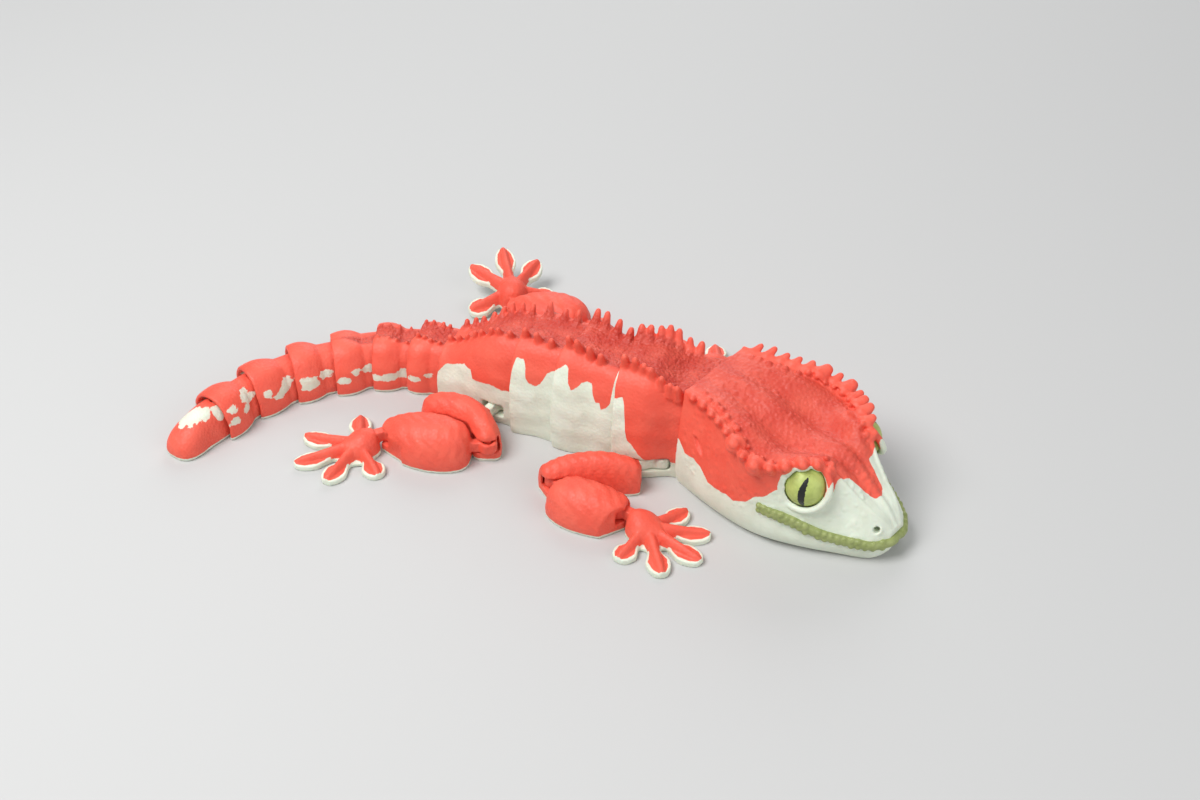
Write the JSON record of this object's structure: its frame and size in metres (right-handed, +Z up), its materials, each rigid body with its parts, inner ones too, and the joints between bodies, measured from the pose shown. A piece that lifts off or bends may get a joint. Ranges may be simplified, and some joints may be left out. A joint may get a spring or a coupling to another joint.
{
  "type": "articulated gecko toy",
  "caption": "Jointed printed-plastic crested gecko toy lying on its belly, head turned aside, tail curved, with spines along back and head crests and spread toe pads.",
  "frame": {"origin": "middle of the footprint, on the surface the toy lies on", "axes": "+Z up, +X toward the head end along the longest side of the footprint, +Y toward the side of its left legs"},
  "size_m": [0.239, 0.1654, 0.0431],
  "materials": {
    "red_plastic": "matte, fine layer lines, with cream plastic below",
    "green_plastic": "matte, with a black pupil slit"
  },
  "bodies": {
    "head": {"head": "red_plastic", "eye_right": "green_plastic", "eye_left": "green_plastic"},
    "chest": {"chest": "red_plastic"},
    "torso_front": {"torso_front": "red_plastic"},
    "torso_rear": {"torso_rear": "red_plastic"},
    "pelvis": {"pelvis": "red_plastic"},
    "tail_1": {"tail_1": "red_plastic"},
    "tail_2": {"tail_2": "red_plastic"},
    "tail_3": {"tail_3": "red_plastic"},
    "tail_4": {"tail_4": "red_plastic"},
    "tail_5": {"tail_5": "red_plastic"},
    "tail_6": {"tail_6": "red_plastic"},
    "tail_tip": {"tail_tip": "red_plastic"},
    "arm_upper_right": {"arm_upper_right": "red_plastic"},
    "arm_lower_right": {"arm_lower_right": "red_plastic"},
    "hand_right": {"hand_right": "red_plastic"},
    "thigh_right": {"thigh_right": "red_plastic"},
    "shin_right": {"shin_right": "red_plastic"},
    "foot_right": {"foot_right": "red_plastic"},
    "arm_upper_left": {"arm_upper_left": "red_plastic"},
    "arm_lower_left": {"arm_lower_left": "red_plastic"},
    "hand_left": {"hand_left": "red_plastic"},
    "thigh_left": {"thigh_left": "red_plastic"},
    "shin_left": {"shin_left": "red_plastic"},
    "foot_left": {"foot_left": "red_plastic"}
  },
  "joints": [
    {"name": "neck", "type": "hinge", "parent": "chest", "child": "head", "pos_m": [0.06251, -0.02539, 0], "axis": [0, 0, 1], "range_deg": [-2, 46]},
    {"name": "torso_bend_front", "type": "hinge", "parent": "chest", "child": "torso_front", "pos_m": [0.0355, -0.01661, 0], "axis": [0, 0, 1], "range_deg": [-1, 29]},
    {"name": "torso_bend_rear", "type": "hinge", "parent": "torso_front", "child": "torso_rear", "pos_m": [0.01914, -0.00638, 0], "axis": [0, 0, -1], "range_deg": [-11, 9]},
    {"name": "torso_pelvis", "type": "hinge", "parent": "torso_rear", "child": "pelvis", "pos_m": [0.00395, 0.00169, 0], "axis": [0, 0, 1], "range_deg": [-8, 14]},
    {"name": "tail_bend_1", "type": "hinge", "parent": "pelvis", "child": "tail_1", "pos_m": [-0.02367, 0.01577, 0], "axis": [0, 0, -1], "range_deg": [-11, 27]},
    {"name": "tail_bend_2", "type": "hinge", "parent": "tail_1", "child": "tail_2", "pos_m": [-0.03653, 0.02019, 0], "axis": [0, 0, 1], "range_deg": [-34, 4]},
    {"name": "tail_bend_3", "type": "hinge", "parent": "tail_2", "child": "tail_3", "pos_m": [-0.0513, 0.02123, 0], "axis": [0, 0, 1], "range_deg": [-35, 3]},
    {"name": "tail_bend_4", "type": "hinge", "parent": "tail_3", "child": "tail_4", "pos_m": [-0.06626, 0.01804, 0], "axis": [0, 0, -1], "range_deg": [-11, 27]},
    {"name": "tail_bend_5", "type": "hinge", "parent": "tail_4", "child": "tail_5", "pos_m": [-0.08036, 0.01291, 0], "axis": [0, 0, 1], "range_deg": [-34, 4]},
    {"name": "tail_bend_6", "type": "hinge", "parent": "tail_5", "child": "tail_6", "pos_m": [-0.09395, 0.00339, 0], "axis": [0, 0, 1], "range_deg": [-35, 3]},
    {"name": "tail_bend_tip", "type": "hinge", "parent": "tail_6", "child": "tail_tip", "pos_m": [-0.10421, -0.00928, 0], "axis": [0, 0, 1], "range_deg": [-21, 17]},
    {"name": "shoulder_right", "type": "hinge", "parent": "chest", "child": "arm_upper_right", "pos_m": [0.04391, -0.03249, 0], "axis": [0, 0, 1], "range_deg": [0, 12]},
    {"name": "elbow_right", "type": "hinge", "parent": "arm_upper_right", "child": "arm_lower_right", "pos_m": [0.00942, -0.04189, 0], "axis": [0, 0, 1], "range_deg": [-35, 0]},
    {"name": "wrist_right", "type": "hinge", "parent": "arm_lower_right", "child": "hand_right", "pos_m": [0.02964, -0.05666, 0], "axis": [0, 0, 1], "range_deg": [-20, 20]},
    {"name": "hip_right", "type": "hinge", "parent": "pelvis", "child": "thigh_right", "pos_m": [-0.00905, -0.00179, 0], "axis": [0, 0, -1], "range_deg": [-12, 0]},
    {"name": "knee_right", "type": "hinge", "parent": "thigh_right", "child": "shin_right", "pos_m": [-0.01269, -0.02539, 0], "axis": [0, 0, -1], "range_deg": [-50, 0]},
    {"name": "ankle_right", "type": "hinge", "parent": "shin_right", "child": "foot_right", "pos_m": [-0.04489, -0.01859, 0], "axis": [0, 0, -1], "range_deg": [-20, 20]},
    {"name": "shoulder_left", "type": "hinge", "parent": "chest", "child": "arm_upper_left", "pos_m": [0.05164, -0.00871, 0], "axis": [0, 0, 1], "range_deg": [-15, 0]},
    {"name": "elbow_left", "type": "hinge", "parent": "arm_upper_left", "child": "arm_lower_left", "pos_m": [0.02925, 0.01917, 0], "axis": [0, 0, 1], "range_deg": [0, 35]},
    {"name": "wrist_left", "type": "hinge", "parent": "arm_lower_left", "child": "hand_left", "pos_m": [0.0543, 0.01923, 0], "axis": [0, 0, 1], "range_deg": [-20, 20]},
    {"name": "hip_left", "type": "hinge", "parent": "pelvis", "child": "thigh_left", "pos_m": [-0.00088, 0.01425, 0], "axis": [0, 0, -1], "range_deg": [0, 12]},
    {"name": "knee_left", "type": "hinge", "parent": "thigh_left", "child": "shin_left", "pos_m": [0.02461, 0.03921, 0], "axis": [0, 0, -1], "range_deg": [0, 50]},
    {"name": "ankle_left", "type": "hinge", "parent": "shin_left", "child": "foot_left", "pos_m": [-0.00669, 0.05161, 0], "axis": [0, 0, -1], "range_deg": [-20, 6]}
  ]
}
